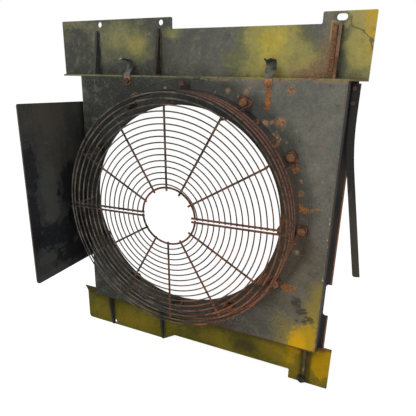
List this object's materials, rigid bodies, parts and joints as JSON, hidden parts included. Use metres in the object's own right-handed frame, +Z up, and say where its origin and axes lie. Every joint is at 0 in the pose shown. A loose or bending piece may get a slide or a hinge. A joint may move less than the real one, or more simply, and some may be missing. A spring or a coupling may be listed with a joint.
{
  "type": "radiator fan shroud",
  "caption": "Painted steel radiator fan shroud with a ring around the fan opening, a wire fan guard in two halves, flanged brackets, hose hooks and a side baffle.",
  "frame": {"origin": "on the fan axis, at the front rim of the fan ring", "axes": "+Z up, +X to the right as seen from the fan side, +Y back towards the radiator along the fan axis"},
  "size_m": [0.8389, 0.238, 0.9075],
  "materials": {
    "panel_paint": "matte",
    "ring_paint": "matte",
    "bracket_paint": "matte",
    "guard_wire": "matte",
    "hook_paint": "matte",
    "baffle_paint": "matte",
    "seal_rubber": "matte",
    "fastener_steel": "satin"
  },
  "bodies": {
    "root": {"shroud_panel": "panel_paint", "fan_ring": "ring_paint", "top_bracket": "bracket_paint", "bottom_bracket": "bracket_paint", "top_gusset_left": "bracket_paint", "top_gusset_middle": "bracket_paint", "top_gusset_right": "bracket_paint", "bottom_gusset_left": "bracket_paint", "bottom_gusset_middle": "bracket_paint", "bottom_gusset_right": "bracket_paint", "upper_guard_face_rings": "guard_wire", "upper_guard_side_rings": "guard_wire", "upper_guard_hub_ring": "guard_wire", "upper_guard_spokes": "guard_wire", "upper_guard_feet": "guard_wire", "lower_guard_face_rings": "guard_wire", "lower_guard_side_rings": "guard_wire", "lower_guard_hub_ring": "guard_wire", "lower_guard_spokes": "guard_wire", "lower_guard_feet": "guard_wire", "m10_bolts": "fastener_steel", "m10_washers": "fastener_steel", "m10_nuts": "fastener_steel", "left_hose_hook": "hook_paint", "right_hose_hook": "hook_paint", "hook_bolts": "fastener_steel", "hook_nuts": "fastener_steel", "side_baffle": "baffle_paint", "baffle_bolts": "fastener_steel", "baffle_nuts": "fastener_steel", "side_seal": "seal_rubber", "seal_rivets": "fastener_steel"}
  },
  "joints": []
}
